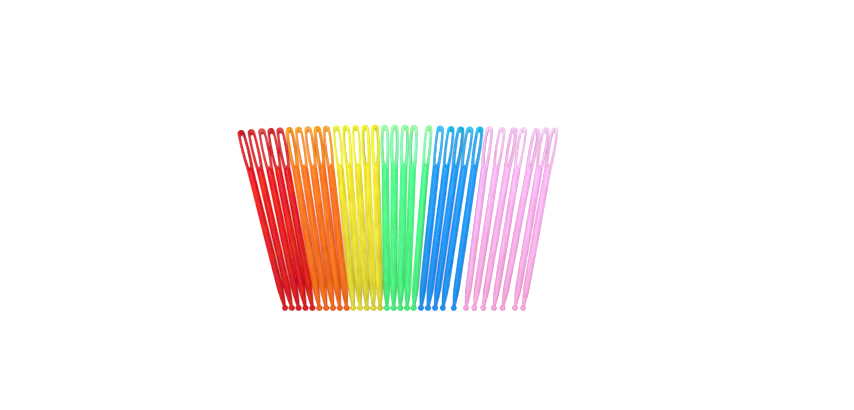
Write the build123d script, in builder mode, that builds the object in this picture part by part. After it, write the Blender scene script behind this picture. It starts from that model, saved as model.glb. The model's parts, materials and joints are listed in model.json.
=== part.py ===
"""A set of ball-tipped plastic yarn needles in six colours, laid side by side in a fan.

Every needle is one moulding: a round shaft that tapers to a small ball, and a thinner flat head
with a long eye for the yarn. Lengths are in millimetres. The table is the XY plane and +Z points
up. The eyes point to +Y and the balls to -Y, and the origin lies on the table under the middle
of the set.
"""

import os
from math import asin, atan2, cos, degrees, radians, sin, sqrt

from build123d import *

# Shaft and ball tip, measured along the needle from the centre of the ball. The shaft swells
# slowly from its shoulder until it has its full width.
ball_diameter = 3.18
neck_diameter = 1.8
neck_round = 0.35
shoulder_diameter = 3.4
shoulder_height = 12
shaft_diameter = 3.64
swell_height = 36
shaft_length = 67.4

# Flat head round the eye, from below the end of the shaft to the crown above it
head_overlap = 7.8
head_rise = 21.2
head_width = 4.14
head_thickness = 2.1
head_edge_round = 0.5
crown_radius_share = 0.88
root_radius_share = 0.58

# Eye for the yarn, from above the end of the shaft to below the top of the crown
eye_rise = 2.4
crown_wall = 3.1
eye_width = 1.58
eye_edge_round = 0.3
eye_top_radius_share = 0.82
eye_bottom_radius_share = 0.52

# Ejector mark, a shallow round dimple in the crown above the eye
mark_diameter = 0.7
mark_depth = 0.2
mark_above_eye = 0.8

# Fan: the least room between two needles, and the lean of the first one
needle_gap = 0.03
first_lean = 14.1

# One row for each needle: the room to the needle on its left at the shoulder, as a share of the
# shoulder, the room at the eye, as a share of the head, and how far it has rolled, as a share of
# the roll that brings its head down on the table
fan_shares = {
    "red": (
        (0, 0, 1),
        (0, 0.1, -0.35),
        (0, 0.15, 0),
        (0, 0, 0.35),
        (0, 0, -0.2),
    ),
    "orange": (
        (0, 0, 1),
        (0, 0, 0.25),
        (0, 0.05, -0.15),
        (0, 0, 0.95),
        (0, 0, -0.25),
    ),
    "yellow": (
        (0, 0.1, 0.1),
        (0, 0.05, -0.55),
        (0, 0.05, 0.15),
        (0, 0.05, -0.85),
        (0, 0.05, 1),
    ),
    "green": (
        (0, 0.05, -0.65),
        (0, 0.05, 1),
        (0, 0.1, 0.75),
        (0, 0, -1),
        (0, 0.55, 0.7),
    ),
    "blue": (
        (0.1, 0.25, -0.5),
        (0.05, 0.15, 0.4),
        (0.05, 0.05, 0.85),
        (0.1, 0, -0.55),
        (0.5, 0.1, 0.8),
    ),
    "pink": (
        (0.65, 0.1, -1),
        (0.25, 0.35, 0.45),
        (0.3, 0.3, 1),
        (0.45, 0.05, -0.55),
        (0.3, 0.4, 1),
        (0.65, 0.05, 0.35),
        (0.15, 0, -1),
    ),
}

ball_radius = ball_diameter / 2
neck_radius = neck_diameter / 2
shoulder_radius = shoulder_diameter / 2
shaft_radius = shaft_diameter / 2
head_root = shaft_length - head_overlap
head_top = shaft_length + head_rise
head_reach = head_width / 2
head_face = head_thickness / 2
eye_bottom = shaft_length + eye_rise
eye_top = head_top - crown_wall
eye_reach = eye_width / 2

# The head and the eye have the same kind of outline: a small circle at each end of the middle
# line, joined on each side by one long arc that touches both circles
crown_radius = head_reach * crown_radius_share
crown_height = head_top - crown_radius
root_radius = min(shaft_radius, head_reach) * root_radius_share
eye_top_radius = eye_reach * eye_top_radius_share
eye_top_height = eye_top - eye_top_radius
eye_bottom_radius = eye_reach * eye_bottom_radius_share
eye_bottom_height = eye_bottom + eye_bottom_radius


def side_arc(low_height, low_radius, high_height, high_radius, reach):
    """The long arc beside two end circles: the height of its widest point, and its radius."""
    span = high_height - low_height
    high_inset = reach - high_radius
    low_inset = reach - low_radius
    high_square = reach**2 - high_radius**2
    low_square = reach**2 - low_radius**2
    free_term = high_inset * span**2 + high_inset * low_square - low_inset * high_square
    root_term = (high_inset * span) ** 2 + (low_inset - high_inset) * free_term
    drop = free_term / (high_inset * span + sqrt(root_term))
    return high_height - drop, (high_square + drop**2) / (2 * high_inset)


def touching_point(widest, arc_radius, reach, circle_height, circle_radius):
    """Where the long arc meets an end circle, on the right-hand side."""
    across = arc_radius - reach
    along = circle_height - widest
    stretch = circle_radius / (arc_radius - circle_radius)
    return across * stretch, circle_height + along * stretch


def pod_outline(low_height, low_radius, high_height, high_radius, reach):
    """Lines round a pod shape: a long arc on each side and a small one at each end."""
    widest, arc_radius = side_arc(low_height, low_radius, high_height, high_radius, reach)
    low_x, low_y = touching_point(widest, arc_radius, reach, low_height, low_radius)
    high_x, high_y = touching_point(widest, arc_radius, reach, high_height, high_radius)
    ThreePointArc((low_x, low_y), (reach, widest), (high_x, high_y))
    ThreePointArc((high_x, high_y), (0, high_height + high_radius), (-high_x, high_y))
    ThreePointArc((-high_x, high_y), (-reach, widest), (-low_x, low_y))
    ThreePointArc((-low_x, low_y), (0, low_height - low_radius), (low_x, low_y))


# Head: a flat plate with the eye through it, its long edges rounded over
with BuildPart() as head:
    with BuildSketch():
        with BuildLine():
            pod_outline(head_root, root_radius, crown_height, crown_radius, head_reach)
        make_face()
        with BuildLine():
            pod_outline(
                eye_bottom_height, eye_bottom_radius, eye_top_height, eye_top_radius, eye_reach
            )
        make_face(mode=Mode.SUBTRACT)
    extrude(amount=head_face, both=True)
    flat_faces = head.faces().filter_by(Axis.Z)
    fillet(flat_faces.sort_by(Axis.Z)[-1].outer_wire().edges(), head_edge_round)
    flat_faces = head.faces().filter_by(Axis.Z)
    fillet(flat_faces.sort_by(Axis.Z)[0].outer_wire().edges(), head_edge_round)
    flat_faces = head.faces().filter_by(Axis.Z)
    fillet(flat_faces.sort_by(Axis.Z)[-1].inner_wires()[0].edges(), eye_edge_round)
    flat_faces = head.faces().filter_by(Axis.Z)
    fillet(flat_faces.sort_by(Axis.Z)[0].inner_wires()[0].edges(), eye_edge_round)
    with BuildSketch(Plane.XY.offset(head_face)):
        with Locations((0, eye_top + mark_above_eye)):
            Circle(mark_diameter / 2)
    extrude(amount=-mark_depth, mode=Mode.SUBTRACT)

# Needle: the round shaft from the ball to the nose that ends it under the eye, with the head
with BuildPart() as needle:
    with BuildSketch():
        with BuildLine():
            neck_angle = degrees(asin(sqrt(ball_radius**2 - neck_radius**2) / ball_radius))
            neck_height = ball_radius * sin(radians(neck_angle))
            CenterArc((0, 0), ball_radius, -90, 90 + neck_angle)
            TangentArc(
                (shoulder_radius, shoulder_height), (neck_radius, neck_height), tangent=(0, -1)
            )
            Line((shoulder_radius, shoulder_height), (shaft_radius, swell_height))
            Line((shaft_radius, swell_height), (shaft_radius, shaft_length))
            CenterArc((0, shaft_length), shaft_radius, 0, 90)
            Line((0, shaft_length + shaft_radius), (0, -ball_radius))
        make_face()
        neck_corner = vertices().sort_by_distance((neck_radius, neck_height))[0]
        fillet(neck_corner, neck_round)
    revolve(axis=Axis.Y)
    add(head.part)

# The needles rest on their thickest part, and may roll until the head comes down on the table
rest_height = max(shaft_radius, shoulder_radius, ball_radius, head_face)
full_roll = atan2(rest_height - head_face, head_reach)
widest_height = side_arc(head_root, root_radius, crown_height, crown_radius, head_reach)[0]


def rolled_reach(roll_share):
    """Half the width that a rolled needle takes up at its eye, seen from above."""
    roll = abs(roll_share) * full_roll
    flat_reach = (head_reach - head_edge_round) * cos(roll)
    face_reach = (head_face - head_edge_round) * sin(roll)
    return max(flat_reach + face_reach + head_edge_round, shaft_radius)


def shoulder_need(height, step, eye_step):
    """The step at the shoulder that leaves the given step at another height of the needles."""
    share = (height - shoulder_height) / (widest_height - shoulder_height)
    return (step - eye_step * share) / (1 - share)


def next_axis(foot, way, shoulder_step, eye_step):
    """The ball centre and direction of a needle laid beside the one at foot, on its right."""
    right = Vector(way.Y, -way.X)
    beside_shoulder = foot + way * shoulder_height + right * shoulder_step
    beside_eye = foot + way * widest_height + right * eye_step
    next_way = (beside_eye - beside_shoulder).normalized()
    next_foot = beside_shoulder - next_way * (beside_shoulder.Y / next_way.Y)
    return next_foot, next_way


def lay_out():
    """Names and seats of the needles from left to right, before the set is centred."""
    rows = []
    for colour, colour_shares in fan_shares.items():
        for number, shares in enumerate(colour_shares, 1):
            rows.append((f"{colour}_needle_{number}", *shares))
    foot = Vector(0, 0)
    way = Vector(-sin(radians(first_lean)), cos(radians(first_lean)))
    last_reach = 0
    seats = []
    for index, (name, shoulder_share, eye_share, roll_share) in enumerate(rows):
        reach = rolled_reach(roll_share)
        if index > 0:
            eye_step = last_reach + reach + needle_gap + eye_share * head_width
            shoulder_step = max(
                shoulder_diameter + needle_gap + shoulder_share * shoulder_diameter,
                shoulder_need(0, ball_diameter + needle_gap, eye_step),
                shoulder_need(swell_height, shaft_diameter + needle_gap, eye_step),
            )
            foot, way = next_axis(foot, way, shoulder_step, eye_step)
        roll = roll_share * full_roll
        right = Vector(way.Y, -way.X)
        up = Vector(0, 0, 1)
        seat = Plane(
            origin=(foot.X, foot.Y, rest_height),
            x_dir=right * cos(roll) - up * sin(roll),
            z_dir=up * cos(roll) + right * sin(roll),
        )
        seats.append((name, seat))
        last_reach = reach
    return seats


seats = lay_out()
with BuildPart() as uncentred:
    with Locations(*[seat for name, seat in seats]):
        add(needle.part)
middle = uncentred.part.bounding_box().center()

os.makedirs("parts", exist_ok=True)
for name, seat in seats:
    with BuildPart() as placed:
        with Locations(Plane(seat.origin - Vector(middle.X, middle.Y), seat.x_dir, seat.z_dir)):
            add(needle.part)
    placed.part.label = name
    export_step(placed.part, f"parts/{name}.step")
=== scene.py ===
import json
from math import asin, pi, radians, sin, sqrt, tan

import bmesh
import bpy
from mathutils import Matrix, Vector


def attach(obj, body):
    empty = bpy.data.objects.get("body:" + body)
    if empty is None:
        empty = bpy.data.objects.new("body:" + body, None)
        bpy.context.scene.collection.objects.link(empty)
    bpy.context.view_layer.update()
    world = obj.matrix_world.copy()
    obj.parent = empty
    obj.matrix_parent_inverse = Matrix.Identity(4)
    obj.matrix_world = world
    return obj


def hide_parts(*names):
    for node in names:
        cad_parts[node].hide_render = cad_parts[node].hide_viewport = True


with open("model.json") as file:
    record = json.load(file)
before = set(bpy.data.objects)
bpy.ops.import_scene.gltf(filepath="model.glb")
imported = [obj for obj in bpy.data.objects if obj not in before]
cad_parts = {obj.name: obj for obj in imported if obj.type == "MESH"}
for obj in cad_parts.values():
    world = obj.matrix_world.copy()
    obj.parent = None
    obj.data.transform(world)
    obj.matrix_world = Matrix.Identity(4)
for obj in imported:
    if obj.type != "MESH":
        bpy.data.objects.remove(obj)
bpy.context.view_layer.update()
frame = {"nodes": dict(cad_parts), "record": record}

# The needle is modelled in millimetres along its own axes, from the centre of its ball: X runs
# across the head, Y along the shaft and Z out of the head's face. Then it is scaled and laid in
# its place in the frame, which is in metres.
METRES = 0.001

# Shaft and ball tip
BALL_RADIUS = 3.18 / 2
NECK_RADIUS = 1.8 / 2
NECK_ROUND = 0.35
SHOULDER_RADIUS = 3.4 / 2
SHOULDER_HEIGHT = 12
SHAFT_RADIUS = 3.64 / 2
SWELL_HEIGHT = 36
SHAFT_LENGTH = 67.4

# Flat head
HEAD_REACH = 4.14 / 2
HEAD_THICKNESS = 2.1
HEAD_ROOT = SHAFT_LENGTH - 7.8
HEAD_TOP = SHAFT_LENGTH + 21.2
HEAD_EDGE_ROUND = 0.5
CROWN_RADIUS = HEAD_REACH * 0.88
ROOT_RADIUS = SHAFT_RADIUS * 0.58

# Eye
EYE_REACH = 1.58 / 2
EYE_BOTTOM = SHAFT_LENGTH + 2.4
EYE_TOP = HEAD_TOP - 3.1
EYE_EDGE_ROUND = 0.3
EYE_TOP_RADIUS = EYE_REACH * 0.82
EYE_BOTTOM_RADIUS = EYE_REACH * 0.52
EYE_MIDDLE = (EYE_BOTTOM + EYE_TOP) / 2

# Ejector mark in the crown
MARK_RADIUS = 0.7 / 2
MARK_DEPTH = 0.2
MARK_HEIGHT = EYE_TOP + 0.8

# How finely the shapes are divided
ROUND_STEPS = 40
NECK_STEPS = 3
BALL_STEPS = 14
TAPER_STEPS = 8
NOSE_STEPS = 9
SWELL_STEPS = 6
SHAFT_STEPS = 7
OUTLINE_STEPS = 112
HEAD_ROUND_STEPS = 5
EYE_ROUND_STEPS = 4
MARK_STEPS = 28
SMOOTH_ANGLE = radians(32)

# Points nearer to each other than this are one point, in millimetres: while the shaft is turned,
# and in the whole needle
SAME_POINT = 0.001
SAME_POINT_WHOLE = 0.002

# An edge of the head that turns by more than this, in radians, is a rim to be rounded
RIM_ANGLE = 1

# The mark's cutter is as wide as the mark where it meets the face, and narrower below
MARK_TAPER = 0.2

# How far the seen surface stands out from the solid's, so that the slit between needles that
# touch shows less
SKIN = 0.012

# Attributes of a needle's points: the place on its own needle, in millimetres, and a number that
# differs from needle to needle, so that no two have the same flow lines
PLACE = "place"
LOT = "lot"
LOT_STEP = 3.7


def spun_point(shape, point, centre, sweep, steps):
    """Draws an arc in the XY plane by turning a point about a centre, and gives its far end."""
    made = bmesh.ops.spin(
        shape, geom=[point], cent=(*centre, 0), axis=(0, 0, 1), angle=sweep, steps=steps
    )
    return next(end for end in made["geom_last"] if isinstance(end, bmesh.types.BMVert))


def drawn_point(shape, point, end, steps):
    """Draws a straight line in the XY plane from a point, in equal steps, and gives its far end."""
    step = (Vector((*end, 0)) - point.co) / steps
    for count in range(steps):
        point = bmesh.ops.extrude_vert_indiv(shape, verts=[point])["verts"][0]
        point.co += step
    return point


def turned_shaft():
    """The round part of a needle: ball, neck, taper, shaft, and the nose that ends it."""
    neck_angle = asin(sqrt(BALL_RADIUS**2 - NECK_RADIUS**2) / BALL_RADIUS)
    neck_height = BALL_RADIUS * sin(neck_angle)
    drop = SHOULDER_RADIUS - NECK_RADIUS
    rise = SHOULDER_HEIGHT - neck_height
    taper_radius = (drop**2 + rise**2) / (2 * drop)
    shape = bmesh.new()
    point = shape.verts.new((0, -BALL_RADIUS, 0))
    point = spun_point(shape, point, (0, 0), pi / 2 + neck_angle, BALL_STEPS)
    taper_centre = (SHOULDER_RADIUS - taper_radius, SHOULDER_HEIGHT)
    point = spun_point(shape, point, taper_centre, asin(rise / taper_radius), TAPER_STEPS)
    point = drawn_point(shape, point, (SHAFT_RADIUS, SWELL_HEIGHT), SWELL_STEPS)
    point = drawn_point(shape, point, (SHAFT_RADIUS, SHAFT_LENGTH), SHAFT_STEPS)
    spun_point(shape, point, (0, SHAFT_LENGTH), pi / 2, NOSE_STEPS)
    bmesh.ops.spin(
        shape,
        geom=shape.verts[:] + shape.edges[:],
        cent=(0, 0, 0),
        axis=(0, 1, 0),
        angle=2 * pi,
        steps=ROUND_STEPS,
        use_merge=True,
    )
    bmesh.ops.remove_doubles(shape, verts=shape.verts, dist=SAME_POINT)
    corner = [
        edge
        for edge in shape.edges
        if all(abs(end.co.y - neck_height) < SAME_POINT for end in edge.verts)
    ]
    corner_turn = pi / 2 - asin(neck_height / BALL_RADIUS)
    bmesh.ops.bevel(
        shape,
        geom=corner,
        offset=NECK_ROUND * tan(corner_turn / 2),
        affect="EDGES",
        segments=NECK_STEPS,
        profile=0.5,
        material=-1,
    )
    bmesh.ops.recalc_face_normals(shape, faces=shape.faces)
    return shape


def side_arc(low_height, low_radius, high_height, high_radius, reach):
    """The long arc beside two end circles: the height of its widest point, and its radius."""
    span = high_height - low_height
    high_inset = reach - high_radius
    low_inset = reach - low_radius
    high_square = reach**2 - high_radius**2
    low_square = reach**2 - low_radius**2
    free_term = high_inset * span**2 + high_inset * low_square - low_inset * high_square
    root_term = (high_inset * span) ** 2 + (low_inset - high_inset) * free_term
    fall = free_term / (high_inset * span + sqrt(root_term))
    return high_height - fall, (high_square + fall**2) / (2 * high_inset)


def bend_to_pod(ring, bottom, low_radius, top, high_radius, reach):
    """Moves a ring of points that lie on a unit circle onto a pod's outline."""
    low_height = bottom + low_radius
    high_height = top - high_radius
    widest, arc_radius = side_arc(low_height, low_radius, high_height, high_radius, reach)
    high_touch = high_height + (high_height - widest) * high_radius / (arc_radius - high_radius)
    low_touch = low_height + (low_height - widest) * low_radius / (arc_radius - low_radius)
    for point in ring:
        side = -1 if point.co.x < 0 else 1
        height = (bottom + top) / 2 + point.co.y * (top - bottom) / 2
        if height > high_touch:
            half_width = sqrt(max(high_radius**2 - (height - high_height) ** 2, 0))
        elif height < low_touch:
            half_width = sqrt(max(low_radius**2 - (height - low_height) ** 2, 0))
        else:
            half_width = sqrt(arc_radius**2 - (height - widest) ** 2) - (arc_radius - reach)
        point.co.x = side * half_width
        point.co.y = height


def pod_ring(shape, bottom, low_radius, top, high_radius, reach):
    """Adds a closed pod outline to a shape, and gives its edges."""
    made = bmesh.ops.create_circle(shape, segments=OUTLINE_STEPS, radius=1)
    bend_to_pod(made["verts"], bottom, low_radius, top, high_radius, reach)
    return {edge for point in made["verts"] for edge in point.link_edges}


def flat_head():
    """The flat head as a ring of plate round the eye, with its long edges rounded."""
    shape = bmesh.new()
    outside = pod_ring(shape, HEAD_ROOT, ROOT_RADIUS, HEAD_TOP, CROWN_RADIUS, HEAD_REACH)
    inside = pod_ring(shape, EYE_BOTTOM, EYE_BOTTOM_RADIUS, EYE_TOP, EYE_TOP_RADIUS, EYE_REACH)
    bmesh.ops.bridge_loops(shape, edges=list(outside | inside))
    bmesh.ops.translate(shape, verts=shape.verts, vec=(0, 0, -HEAD_THICKNESS / 2))
    made = bmesh.ops.extrude_face_region(shape, geom=shape.faces[:], use_keep_orig=True)
    lifted = [item for item in made["geom"] if isinstance(item, bmesh.types.BMVert)]
    bmesh.ops.translate(shape, verts=lifted, vec=(0, 0, HEAD_THICKNESS))
    bmesh.ops.recalc_face_normals(shape, faces=shape.faces)
    rims = [edge for edge in shape.edges if edge.is_manifold and edge.calc_face_angle() > RIM_ANGLE]
    eye_rims = [edge for edge in rims if in_eye(edge)]
    head_rims = [edge for edge in rims if not in_eye(edge)]
    for rounded, width, steps in (
        (head_rims, HEAD_EDGE_ROUND, HEAD_ROUND_STEPS),
        (eye_rims, EYE_EDGE_ROUND, EYE_ROUND_STEPS),
    ):
        bmesh.ops.bevel(
            shape,
            geom=rounded,
            offset=width,
            affect="EDGES",
            segments=steps,
            profile=0.5,
            material=-1,
        )
    return shape


def in_eye(edge):
    """Whether an edge of the plate lies on the eye's outline, not on the head's."""
    middle = (edge.verts[0].co + edge.verts[1].co) / 2
    near_middle = abs(middle.x) < EYE_REACH * 1.01
    return near_middle and EYE_BOTTOM - 0.01 < middle.y < EYE_TOP + 0.01


def mark_cutter():
    """A short round plug that sinks the ejector mark into the crown."""
    shape = bmesh.new()
    bmesh.ops.create_cone(
        shape,
        cap_ends=True,
        segments=MARK_STEPS,
        radius1=MARK_RADIUS * (1 - MARK_TAPER),
        radius2=MARK_RADIUS * (1 + MARK_TAPER),
        depth=MARK_DEPTH * 2,
    )
    bmesh.ops.translate(shape, verts=shape.verts, vec=(0, MARK_HEIGHT, HEAD_THICKNESS / 2))
    return shape


def as_object(shape, name):
    """Puts a bmesh into a new mesh object and frees it."""
    mesh = bpy.data.meshes.new(name)
    shape.to_mesh(mesh)
    shape.free()
    made = bpy.data.objects.new(name, mesh)
    bpy.context.scene.collection.objects.link(made)
    return made


def joined(first, second, operation):
    """The mesh of one solid with another added to it or cut out of it."""
    modifier = first.modifiers.new("joined", "BOOLEAN")
    modifier.solver = "EXACT"
    modifier.operation = operation
    modifier.object = second
    seen = first.evaluated_get(bpy.context.evaluated_depsgraph_get())
    mesh = bpy.data.meshes.new_from_object(seen)
    for used in (first, second):
        bpy.data.objects.remove(used)
    return mesh


def whole_needle():
    """One needle's mesh in its own millimetres, with every point's place kept as an attribute."""
    shaft = as_object(turned_shaft(), "shaft_form")
    head = as_object(flat_head(), "head_form")
    mark = as_object(mark_cutter(), "mark_form")
    blank = bpy.data.objects.new("blank", joined(shaft, head, "UNION"))
    bpy.context.scene.collection.objects.link(blank)
    mesh = joined(blank, mark, "DIFFERENCE")
    shape = bmesh.new()
    shape.from_mesh(mesh)
    bmesh.ops.remove_doubles(shape, verts=shape.verts, dist=SAME_POINT_WHOLE)
    bmesh.ops.dissolve_degenerate(shape, edges=shape.edges, dist=SAME_POINT)
    bmesh.ops.recalc_face_normals(shape, faces=shape.faces)
    place = shape.verts.layers.float_vector.new(PLACE)
    for point in shape.verts:
        point[place] = point.co
        point.co += point.normal * SKIN
    shape.to_mesh(mesh)
    shape.free()
    mesh.shade_smooth()
    mesh.set_sharp_from_angle(angle=SMOOTH_ANGLE)
    return mesh


def middle_of_solid(node):
    """The middle of a node's volume."""
    mesh = node.data
    mesh.calc_loop_triangles()
    total = Vector()
    volume = 0
    for triangle in mesh.loop_triangles:
        a, b, c = (mesh.vertices[index].co for index in triangle.vertices)
        share = a.dot(b.cross(c))
        total += (a + b + c) * share
        volume += share
    return total / (4 * volume)


def seat_of(name):
    """How a needle is laid. Its eye and the way its face looks are the record's, and its lean is
    the solid's."""
    eye = next(mount for mount in frame["record"]["mounts"] if mount["name"] == "eye_of_" + name)
    eye_place = Vector(eye["pos_m"])
    face_way = Vector(eye["axis"])
    long_way = eye_place - middle_of_solid(frame["nodes"][name])
    long_way = Vector((long_way.x, long_way.y, 0)).normalized()
    cross_way = long_way.cross(face_way)
    turn = Matrix((cross_way, long_way, face_way)).transposed().to_4x4()
    scale = Matrix.Scale(METRES, 4)
    return Matrix.Translation(eye_place) @ turn @ scale @ Matrix.Translation((0, -EYE_MIDDLE, 0))


def screen(red, green, blue):
    """A screen colour, from 0 to 255, turned into the linear light that Blender uses."""
    shares = (value / 255 for value in (red, green, blue))
    linear = (
        share / 12.92 if share <= 0.04045 else ((share + 0.055) / 1.055) ** 2.4
        for share in shares
    )
    return (*linear, 1)


# Each plastic's colour at the ball, at the top of the shaft, in the legs of the head, in its crown
# and in the ejector mark. The ball's is darker than the shaft's as painted shade, for light that
# falls off towards the tips; the legs' and crown's tones are painted light that comes through the
# thinner plate; and the mark's is darker as painted shade in its dimple.
PLASTICS = {
    "red": ((214, 2, 4), (232, 0, 6), (208, 5, 22), (203, 2, 24), (190, 3, 24)),
    "orange": ((231, 107, 4), (254, 125, 4), (240, 144, 4), (240, 158, 4), (222, 142, 4)),
    "yellow": ((217, 210, 52), (238, 227, 36), (232, 231, 46), (229, 231, 50), (216, 214, 44)),
    "green": ((74, 230, 132), (79, 250, 145), (134, 247, 174), (160, 249, 171), (142, 230, 140)),
    "blue": ((6, 150, 235), (6, 163, 250), (20, 171, 232), (14, 189, 234), (10, 170, 218)),
    "pink": ((242, 172, 218), (254, 190, 242), (246, 192, 234), (242, 204, 240), (224, 188, 220)),
}
STOPS = ("Ball Colour And Shade", "Shaft Colour", "Leg Colour And Light", "Crown Colour And Light", "Mark Shade Colour")

# How much lighter each plastic is made at a needle's sides: painted light, for the shade that the
# sides lie in where needles touch. The pink one gets painted shade there, a little deeper.
PAINTED_SIDE_LIGHT = {
    "red": 0.25,
    "orange": 0.25,
    "yellow": 0.25,
    "green": 0.2,
    "blue": 0.1,
    "pink": -0.05,
}

# The lightest that a plastic's colour may get, as a share of white
PALEST = 0.97

# Where each colour is reached along the needle, in millimetres from the centre of the ball
SHAFT_COLOUR_FULL = SHAFT_LENGTH * 0.9
LEG_COLOUR_FROM = SHAFT_LENGTH - 1.5
LEG_COLOUR_FULL = EYE_BOTTOM + 3
CROWN_COLOUR_FROM = EYE_TOP - 3
CROWN_COLOUR_FULL = EYE_TOP + 1

# How far from the middle the painted light on a needle's sides begins
SIDE_LIGHT_FROM = SHAFT_RADIUS * 0.6

# The part of a noise's range that counts, and how much flow lines, which also paint highlight
# streaks, and clouds change the light, and clouds the hue, over it, where 1 and 0.5 change nothing
NOISE_RANGE = (0.3, 0.7)
FLOW_AND_STREAK_LIGHT = (0.88, 1.12)
CLOUD_LIGHT = (0.95, 1.05)
CLOUD_HUE = (0.496, 0.504)
SCUFF_RANGE = (0.35, 0.75)

# Half the width of the parting line where it ends, and where it has its full height
SEAM_EDGE = 0.1
SEAM_CORE = 0.02

# Size of the spots of each noise in millimetres: across, along and through the needle
FLOW_SPOT = (0.42, 14, 0.42)
CLOUD_SPOT = (2.5, 8, 2.5)
SCUFF_SPOT = (0.25, 0.6, 0.25)

# Roughness where the plastic is smooth, where it is scuffed, and what the ejector mark adds
SMOOTH_ROUGHNESS = 0.3
SCUFFED_ROUGHNESS = 0.42
MARK_ROUGHNESS = 0.2

# Height of the scuffs beside that of the parting line, the strength of the whole relief, and its
# height in metres
SCUFF_HEIGHT = 0.25
RELIEF_STRENGTH = 0.25
RELIEF_HEIGHT = 0.00002

# How the plastic takes light: its surface, and how far light spreads inside it, in metres
PLASTIC_IOR = 1.49
SURFACE_SHINE = 0.2
INNER_LIGHT = 0.8
INNER_SPREAD = 0.0015


def node_of(tree, kind, **settings):
    """Adds a shader node with its settings."""
    made = tree.nodes.new(kind)
    for key, value in settings.items():
        setattr(made, key, value)
    return made


def ramped(tree, value, start, end, low=0.0, high=1.0, smooth=True):
    """A change from low to high while a value goes from start to end."""
    kind = "SMOOTHSTEP" if smooth else "LINEAR"
    made = node_of(tree, "ShaderNodeMapRange", interpolation_type=kind)
    tree.links.new(value, made.inputs["Value"])
    made.inputs["From Min"].default_value = start
    made.inputs["From Max"].default_value = end
    made.inputs["To Min"].default_value = low
    made.inputs["To Max"].default_value = high
    return made.outputs["Result"]


def sum_of(tree, operation, first, second):
    """A Math node fed with sockets or plain numbers."""
    made = node_of(tree, "ShaderNodeMath", operation=operation)
    for slot, value in zip(made.inputs, (first, second)):
        if isinstance(value, (int, float)):
            slot.default_value = value
        else:
            tree.links.new(value, slot)
    return made.outputs[0]


def mixed(tree, share, first, second):
    """A colour between two others."""
    made = node_of(tree, "ShaderNodeMix", data_type="RGBA")
    for slot, value in ((made.inputs[0], share), (made.inputs[6], first), (made.inputs[7], second)):
        tree.links.new(value, slot)
    return made.outputs[2]


def noise_of(tree, place, lot, size, detail):
    """Noise whose spots have the given size in millimetres along the needle's own axes."""
    stretch = node_of(tree, "ShaderNodeMapping", vector_type="POINT")
    stretch.inputs["Scale"].default_value = [1 / length for length in size]
    tree.links.new(place, stretch.inputs["Vector"])
    made = node_of(tree, "ShaderNodeTexNoise", noise_dimensions="4D")
    made.inputs["Scale"].default_value = 1
    made.inputs["Detail"].default_value = detail
    tree.links.new(stretch.outputs[0], made.inputs["Vector"])
    tree.links.new(lot, made.inputs["W"])
    return made.outputs["Fac"]


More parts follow.
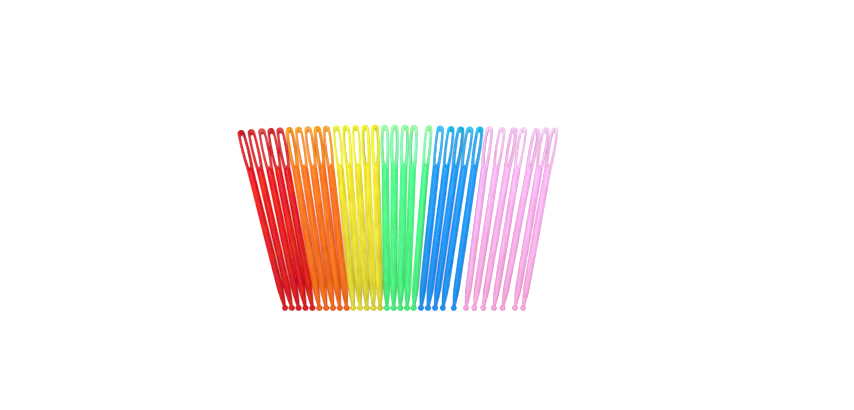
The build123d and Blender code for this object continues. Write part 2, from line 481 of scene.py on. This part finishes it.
def plastic_group():
    """How a needle's plastic changes over its surface: along the needle from the ball to the crown,
    with painted shade towards the ball and painted light in the head, and towards its sides, with
    painted light there, with a dull ejector mark in painted shade, flow lines that also paint
    highlight streaks, clouds, fine scuffs and a parting line."""
    group = bpy.data.node_groups.new("moulded_plastic", "ShaderNodeTree")
    for name in STOPS:
        group.interface.new_socket(name, in_out="INPUT", socket_type="NodeSocketColor")
    group.interface.new_socket("Painted Side Light", in_out="INPUT", socket_type="NodeSocketFloat")
    group.interface.new_socket("Colour", in_out="OUTPUT", socket_type="NodeSocketColor")
    group.interface.new_socket("Roughness", in_out="OUTPUT", socket_type="NodeSocketFloat")
    group.interface.new_socket("Height", in_out="OUTPUT", socket_type="NodeSocketFloat")
    entry = group.nodes.new("NodeGroupInput")
    leave = group.nodes.new("NodeGroupOutput")

    place = node_of(group, "ShaderNodeAttribute", attribute_name=PLACE).outputs["Vector"]
    lot = node_of(group, "ShaderNodeAttribute", attribute_name=LOT).outputs["Fac"]
    parts = group.nodes.new("ShaderNodeSeparateXYZ")
    group.links.new(place, parts.inputs[0])
    across, along, up = parts.outputs

    # Along the needle, from the ball to the crown: painted shade darkens it towards the ball
    colour = mixed(
        group,
        ramped(group, along, -BALL_RADIUS, SHAFT_COLOUR_FULL, smooth=False),
        entry.outputs["Ball Colour And Shade"],
        entry.outputs["Shaft Colour"],
    )
    # Painted light in the legs and crown, for light that comes through the thin plate
    in_legs = ramped(group, along, LEG_COLOUR_FROM, LEG_COLOUR_FULL)
    colour = mixed(group, in_legs, colour, entry.outputs["Leg Colour And Light"])
    in_crown = ramped(group, along, CROWN_COLOUR_FROM, CROWN_COLOUR_FULL)
    colour = mixed(group, in_crown, colour, entry.outputs["Crown Colour And Light"])

    # Ejector mark: its darker colour is painted shade in the dimple
    offset = node_of(group, "ShaderNodeVectorMath", operation="DISTANCE")
    group.links.new(place, offset.inputs[0])
    offset.inputs[1].default_value = (0, MARK_HEIGHT, HEAD_THICKNESS / 2)
    in_mark = ramped(group, offset.outputs["Value"], MARK_RADIUS * 1.5, MARK_RADIUS * 0.7)
    colour = mixed(group, in_mark, colour, entry.outputs["Mark Shade Colour"])

    # Flow lines long along the needle, also painted highlight streaks, and broad clouds where the
    # plastic cooled unevenly
    flow = noise_of(group, place, lot, FLOW_SPOT, 2)
    cloud = noise_of(group, place, lot, CLOUD_SPOT, 2)
    shade = node_of(group, "ShaderNodeHueSaturation")
    light = sum_of(
        group,
        "MULTIPLY",
        ramped(group, flow, *NOISE_RANGE, *FLOW_AND_STREAK_LIGHT),
        ramped(group, cloud, *NOISE_RANGE, *CLOUD_LIGHT),
    )

    # Painted light on the sides, and painted shade on the pink ones
    in_side = ramped(group, sum_of(group, "ABSOLUTE", across, 0), SIDE_LIGHT_FROM, SHAFT_RADIUS)
    side_light = sum_of(group, "MULTIPLY", in_side, entry.outputs["Painted Side Light"])
    light = sum_of(group, "MULTIPLY", light, sum_of(group, "ADD", side_light, 1))
    group.links.new(light, shade.inputs["Value"])
    group.links.new(ramped(group, cloud, *NOISE_RANGE, *CLOUD_HUE), shade.inputs["Hue"])
    group.links.new(colour, shade.inputs["Color"])
    capped = node_of(group, "ShaderNodeVectorMath", operation="MINIMUM")
    capped.inputs[1].default_value = (PALEST, PALEST, PALEST)
    group.links.new(shade.outputs[0], capped.inputs[0])
    group.links.new(capped.outputs[0], leave.inputs["Colour"])

    # Fine scuffs
    scuff = noise_of(group, place, lot, SCUFF_SPOT, 4)
    rough = ramped(group, scuff, *SCUFF_RANGE, SMOOTH_ROUGHNESS, SCUFFED_ROUGHNESS)
    rough = sum_of(group, "ADD", rough, sum_of(group, "MULTIPLY", in_mark, MARK_ROUGHNESS))
    group.links.new(rough, leave.inputs["Roughness"])

    # Height: the mould's parting line along both sides, and the scuffs
    seam = ramped(group, sum_of(group, "ABSOLUTE", up, 0), SEAM_EDGE, SEAM_CORE)
    height = sum_of(group, "ADD", seam, sum_of(group, "MULTIPLY", scuff, SCUFF_HEIGHT))
    group.links.new(height, leave.inputs["Height"])
    return group


def plastic(colour, group):
    """The material of the needles of one colour."""
    material = bpy.data.materials.new(colour + "_plastic")
    material.use_nodes = True
    tree = material.node_tree
    surface = tree.nodes["Principled BSDF"]
    surface.inputs["IOR"].default_value = PLASTIC_IOR
    surface.inputs["Specular IOR Level"].default_value = SURFACE_SHINE
    surface.inputs["Subsurface Weight"].default_value = INNER_LIGHT
    surface.inputs["Subsurface Radius"].default_value = (1, 1, 1)
    surface.inputs["Subsurface Scale"].default_value = INNER_SPREAD
    pattern = node_of(tree, "ShaderNodeGroup", node_tree=group)
    for name, value in zip(STOPS, PLASTICS[colour]):
        pattern.inputs[name].default_value = screen(*value)
    pattern.inputs["Painted Side Light"].default_value = PAINTED_SIDE_LIGHT[colour]
    tree.links.new(pattern.outputs["Colour"], surface.inputs["Base Color"])
    tree.links.new(pattern.outputs["Roughness"], surface.inputs["Roughness"])
    bump = tree.nodes.new("ShaderNodeBump")
    bump.inputs["Strength"].default_value = RELIEF_STRENGTH
    bump.inputs["Distance"].default_value = RELIEF_HEIGHT
    tree.links.new(pattern.outputs["Height"], bump.inputs["Height"])
    tree.links.new(bump.outputs[0], surface.inputs["Normal"])
    return material


def lay_needles():
    """A finished needle in the place of each plain one."""
    form = whole_needle()
    group = plastic_group()
    materials = {colour: plastic(colour, group) for colour in PLASTICS}
    for number, name in enumerate(sorted(frame["nodes"])):
        colour = name.split("_")[0]
        mesh = form.copy()
        lot = mesh.attributes.new(LOT, "FLOAT", "POINT")
        lot.data.foreach_set("value", [number * LOT_STEP] * len(mesh.vertices))
        mesh.name = name + ".moulding"
        mesh.transform(seat_of(name))
        mesh.materials.append(materials[colour])
        needle = bpy.data.objects.new(name + ".moulding", mesh)
        bpy.context.scene.collection.objects.link(needle)
        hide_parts(name)
        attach(needle, name)
    bpy.data.meshes.remove(form)


# The photograph's frame, and where the middle of the set falls in it
PHOTO_WIDTH = 854
PHOTO_HEIGHT = 410
SET_MIDDLE_PIXEL = (398.0, 217.7)
METRES_A_PIXEL = 0.000483
LENS = 85
SENSOR = 36

# White table: half its width in metres, its grey, and how much it glows to the camera
FLOOR_REACH = 3
FLOOR_GREY = 0.85
FLOOR_GLOW = 0.92

# White room: its light low down and higher up, and how much less comes from right above. The
# heights are those of a sphere's surface, from 0 at the horizon to 1 right above.
LOW_LIGHT = 0.54
HIGH_LIGHT = 0.65
HIGH_LIGHT_FROM = 0.6
OVERHEAD_LOSS = 0.4
OVERHEAD_FROM = 0.9
OVERHEAD_FULL = 0.99

# Soft lamp: where it stands and what it points at, its width and length in metres, and its power
LAMP_PLACE = (-0.2, 0.25, 1.25)
LAMP_AIM = (0, 0, 0)
LAMP_WIDTH = 0.2
LAMP_LENGTH = 0.3
LAMP_POWER = 7.5


def camera():
    """Straight above the set, as the photograph was taken."""
    lens = bpy.data.cameras.new("camera")
    lens.lens = LENS
    lens.sensor_width = SENSOR
    made = bpy.data.objects.new("camera", lens)
    bpy.context.scene.collection.objects.link(made)
    x = (PHOTO_WIDTH / 2 - SET_MIDDLE_PIXEL[0]) * METRES_A_PIXEL
    y = (SET_MIDDLE_PIXEL[1] - PHOTO_HEIGHT / 2) * METRES_A_PIXEL
    distance = PHOTO_WIDTH * METRES_A_PIXEL * LENS / SENSOR
    made.location = (x, y, distance)
    bpy.context.scene.camera = made


def seen_directly(tree):
    """A mask that is 1 for camera, glossy and transmission rays."""
    path = tree.nodes.new("ShaderNodeLightPath")
    mask = sum_of(tree, "MAXIMUM", path.outputs["Is Camera Ray"], path.outputs["Is Glossy Ray"])
    return sum_of(tree, "MAXIMUM", mask, path.outputs["Is Transmission Ray"])


def floor():
    """A white table that looks white and still takes the needles' soft shadows."""
    shape = bmesh.new()
    bmesh.ops.create_grid(shape, x_segments=1, y_segments=1, size=FLOOR_REACH)
    made = as_object(shape, "floor")
    material = bpy.data.materials.new("white_table")
    material.use_nodes = True
    tree = material.node_tree
    tree.nodes.clear()
    paper = tree.nodes.new("ShaderNodeBsdfDiffuse")
    paper.inputs["Color"].default_value = (FLOOR_GREY, FLOOR_GREY, FLOOR_GREY, 1)
    glow = tree.nodes.new("ShaderNodeEmission")
    seen = sum_of(tree, "MULTIPLY", seen_directly(tree), FLOOR_GLOW)
    tree.links.new(seen, glow.inputs["Strength"])
    both = tree.nodes.new("ShaderNodeAddShader")
    tree.links.new(paper.outputs[0], both.inputs[0])
    tree.links.new(glow.outputs[0], both.inputs[1])
    leave = tree.nodes.new("ShaderNodeOutputMaterial")
    tree.links.new(both.outputs[0], leave.inputs["Surface"])
    made.data.materials.append(material)


def room_light():
    """A white studio, darker low down and right above, where the camera and its stand are."""
    world = bpy.data.worlds.new("room")
    bpy.context.scene.world = world
    world.use_nodes = True
    tree = world.node_tree
    sky = tree.nodes["Background"]
    sky.inputs["Color"].default_value = (1, 1, 1, 1)
    way = tree.nodes.new("ShaderNodeTexCoord")
    parts = tree.nodes.new("ShaderNodeSeparateXYZ")
    tree.links.new(way.outputs["Generated"], parts.inputs[0])
    height = parts.outputs["Z"]
    walls = ramped(tree, height, 0.0, HIGH_LIGHT_FROM, LOW_LIGHT, HIGH_LIGHT)
    hole = ramped(tree, height, OVERHEAD_FROM, OVERHEAD_FULL, 0.0, OVERHEAD_LOSS)
    tree.links.new(sum_of(tree, "SUBTRACT", walls, hole), sky.inputs["Strength"])


def lamp(name, place, aim, width, length, power):
    """A soft rectangular lamp."""
    light = bpy.data.lights.new(name, "AREA")
    light.shape = "RECTANGLE"
    light.size = width
    light.size_y = length
    light.energy = power
    made = bpy.data.objects.new(name, light)
    made.location = place
    made.rotation_euler = (Vector(aim) - Vector(place)).to_track_quat("-Z", "Y").to_euler()
    bpy.context.scene.collection.objects.link(made)


bpy.context.scene.view_settings.view_transform = "Standard"
camera()
floor()
room_light()
lamp("soft_lamp", LAMP_PLACE, LAMP_AIM, LAMP_WIDTH, LAMP_LENGTH, LAMP_POWER)
lay_needles()
